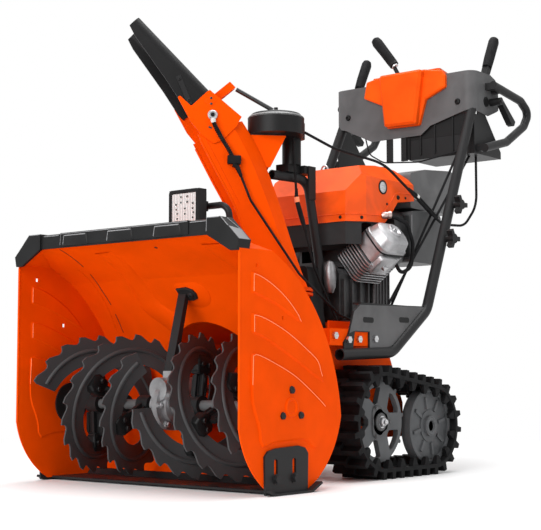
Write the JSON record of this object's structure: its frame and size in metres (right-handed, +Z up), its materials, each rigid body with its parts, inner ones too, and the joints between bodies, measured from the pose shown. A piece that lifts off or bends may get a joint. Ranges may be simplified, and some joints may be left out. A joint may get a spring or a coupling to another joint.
{
  "type": "snow blower",
  "caption": "Orange two-stage snow blower on rubber tracks, with serrated augers, a turning chute, an engine under a hood and a rear dash with levers",
  "frame": {"origin": "centre of the bounding box at the ground", "axes": "+Z up, -Y forward to the intake, +Y to the handles, +X to the machine's left side"},
  "size_m": [0.726, 1.4143, 1.261],
  "materials": {
    "orange_paint": "gloss powder coat",
    "orange_plastic": "smooth moulded",
    "black_plastic": "moulded, fine grain",
    "black_paint": "satin paint",
    "grey_paint": "fine textured powder coat",
    "grey_plastic": "moulded, fine grain",
    "wheel_plastic": "moulded nylon",
    "cast_alloy": "as cast",
    "bright_steel": "zinc plated",
    "track_rubber": "dull moulded",
    "lens": "clear moulded"
  },
  "bodies": {
    "machine": {"housing_shell": "orange_paint", "side_plates": "orange_paint", "impeller_drum": "orange_paint", "frame": "orange_paint", "hood": "orange_plastic", "dash_cover": "orange_plastic", "top_rail": "black_plastic", "turning_head": "black_plastic", "belt_cover": "black_plastic", "wear_bars": "black_paint", "gear_brace": "black_paint", "auger_bearings": "black_paint", "support_tubes": "black_paint", "handle_loops": "black_paint", "handle_tubes": "black_paint", "control_pins": "black_paint", "dash_panel": "grey_paint", "dash_tray": "grey_paint", "engine_shroud": "grey_plastic", "air_box": "grey_plastic", "fuel_tank": "grey_plastic", "gear_case": "cast_alloy", "crankcase": "cast_alloy", "cylinder": "cast_alloy", "valve_cover": "cast_alloy", "bolts": "bright_steel", "track_left": "track_rubber", "track_right": "track_rubber", "cables": "track_rubber", "chute_tail_cable": "track_rubber", "drive_belt": "track_rubber"},
    "auger": {"auger_shaft": "bright_steel", "flights_left": "black_paint", "flights_right": "black_paint", "auger_arms": "black_paint"},
    "impeller_set": {"impeller": "orange_paint", "impeller_shaft": "bright_steel"},
    "crank": {"engine_pulley": "bright_steel"},
    "chute_set": {"chute": "orange_paint", "deflector_bolts": "bright_steel", "deflector_spring": "bright_steel", "deflector_cable": "track_rubber"},
    "deflector_set": {"deflector_cheeks": "orange_paint", "deflector": "black_plastic"},
    "lamp_set": {"lamp": "black_plastic", "lamp_lens": "lens"},
    "front_wheel_left": {"sprocket_left": "wheel_plastic"},
    "front_wheel_right": {"sprocket_right": "wheel_plastic"},
    "back_wheel_left": {"rear_wheel_left": "wheel_plastic"},
    "back_wheel_right": {"rear_wheel_right": "wheel_plastic"},
    "lever_left": {"engage_lever_left": "black_plastic"},
    "lever_right": {"engage_lever_right": "black_plastic"},
    "steer_left": {"trigger_left": "black_plastic"},
    "steer_right": {"trigger_right": "black_plastic"},
    "speed": {"speed_lever": "black_plastic"},
    "knob_l1": {"knob_left_1": "black_plastic"},
    "knob_l2": {"knob_left_2": "black_plastic"},
    "knob_r1": {"knob_right_1": "black_plastic"},
    "knob_r2": {"knob_right_2": "black_plastic"},
    "cap": {"fuel_cap": "black_plastic"}
  },
  "joints": [
    {"name": "auger_spin", "type": "hinge", "parent": "machine", "child": "auger", "pos_m": [0, -0.5321, 0.183], "axis": [1, 0, 0], "continuous": true},
    {"name": "impeller_spin", "type": "hinge", "parent": "machine", "child": "impeller_set", "pos_m": [0, -0.2191, 0.219], "axis": [0, 1, 0], "continuous": true},
    {"name": "crank_spin", "type": "hinge", "parent": "machine", "child": "crank", "pos_m": [0, -0.0591, 0.466], "axis": [0, 1, 0], "continuous": true},
    {"name": "chute_turn", "type": "hinge", "parent": "machine", "child": "chute_set", "pos_m": [0.045, -0.2061, 0.458], "axis": [0, 0, 1], "range_deg": [-37, 123], "deforming": ["chute_tail_cable"]},
    {"name": "deflector_tilt", "type": "hinge", "parent": "chute_set", "child": "deflector_set", "pos_m": [-0.06889, -0.32824, 0.884], "axis": [0.7314, -0.682, 0], "range_deg": [0, 50], "deforming": ["deflector_spring"]},
    {"name": "lamp_tilt", "type": "hinge", "parent": "machine", "child": "lamp_set", "pos_m": [-0.016, -0.4371, 0.655], "axis": [1, 0, 0], "range_deg": [-15, 15]},
    {"name": "sprocket_left_spin", "type": "hinge", "parent": "machine", "child": "front_wheel_left", "pos_m": [0.258, -0.0801, 0.138], "axis": [1, 0, 0], "continuous": true},
    {"name": "rear_wheel_left_spin", "type": "hinge", "parent": "machine", "child": "back_wheel_left", "pos_m": [0.258, 0.1409, 0.122], "axis": [1, 0, 0], "continuous": true},
    {"name": "engage_left", "type": "hinge", "parent": "machine", "child": "lever_left", "pos_m": [0.225, 0.5059, 1.072], "axis": [1, 0, 0], "range_deg": [-30, 0], "stiffness_Nm_per_rad": 2, "springref_deg": 17.19},
    {"name": "steer_left_press", "type": "hinge", "parent": "machine", "child": "steer_left", "pos_m": [0.266, 0.5289, 1.028], "axis": [1, 0, 0], "range_deg": [0, 16], "stiffness_Nm_per_rad": 2, "springref_deg": -17.19},
    {"name": "sprocket_right_spin", "type": "hinge", "parent": "machine", "child": "front_wheel_right", "pos_m": [-0.258, -0.0801, 0.138], "axis": [1, 0, 0], "continuous": true},
    {"name": "rear_wheel_right_spin", "type": "hinge", "parent": "machine", "child": "back_wheel_right", "pos_m": [-0.258, 0.1409, 0.122], "axis": [1, 0, 0], "continuous": true},
    {"name": "engage_right", "type": "hinge", "parent": "machine", "child": "lever_right", "pos_m": [-0.225, 0.5059, 1.072], "axis": [1, 0, 0], "range_deg": [-30, 0], "stiffness_Nm_per_rad": 2, "springref_deg": 17.19},
    {"name": "steer_right_press", "type": "hinge", "parent": "machine", "child": "steer_right", "pos_m": [-0.266, 0.5289, 1.028], "axis": [1, 0, 0], "range_deg": [0, 16], "stiffness_Nm_per_rad": 2, "springref_deg": -17.19},
    {"name": "speed_select", "type": "hinge", "parent": "machine", "child": "speed", "pos_m": [-0.014, 0.4669, 1.07], "axis": [1, 0, 0], "range_deg": [-15, 15]},
    {"name": "knob_left_1_turn", "type": "hinge", "parent": "machine", "child": "knob_l1", "pos_m": [0.2783, 0.26323, 0.614], "axis": [1, 0, 0], "continuous": true},
    {"name": "knob_left_2_turn", "type": "hinge", "parent": "machine", "child": "knob_l2", "pos_m": [0.2745, 0.30991, 0.71], "axis": [1, 0, 0], "continuous": true},
    {"name": "knob_right_1_turn", "type": "hinge", "parent": "machine", "child": "knob_r1", "pos_m": [-0.2783, 0.26323, 0.614], "axis": [1, 0, 0], "continuous": true},
    {"name": "knob_right_2_turn", "type": "hinge", "parent": "machine", "child": "knob_r2", "pos_m": [-0.2745, 0.30991, 0.71], "axis": [1, 0, 0], "continuous": true},
    {"name": "fuel_cap_turn", "type": "hinge", "parent": "machine", "child": "cap", "pos_m": [-0.06, 0.4009, 0.84], "axis": [0, 0, 1], "continuous": true}
  ],
  "couplings": [
    {"joint": "impeller_spin", "follows": "auger_spin", "ratio": 10},
    {"joint": "crank_spin", "follows": "auger_spin", "ratio": 20},
    {"joint": "sprocket_left_spin", "follows": "rear_wheel_left_spin", "ratio": 0.8571},
    {"joint": "sprocket_right_spin", "follows": "rear_wheel_right_spin", "ratio": 0.8571}
  ]
}
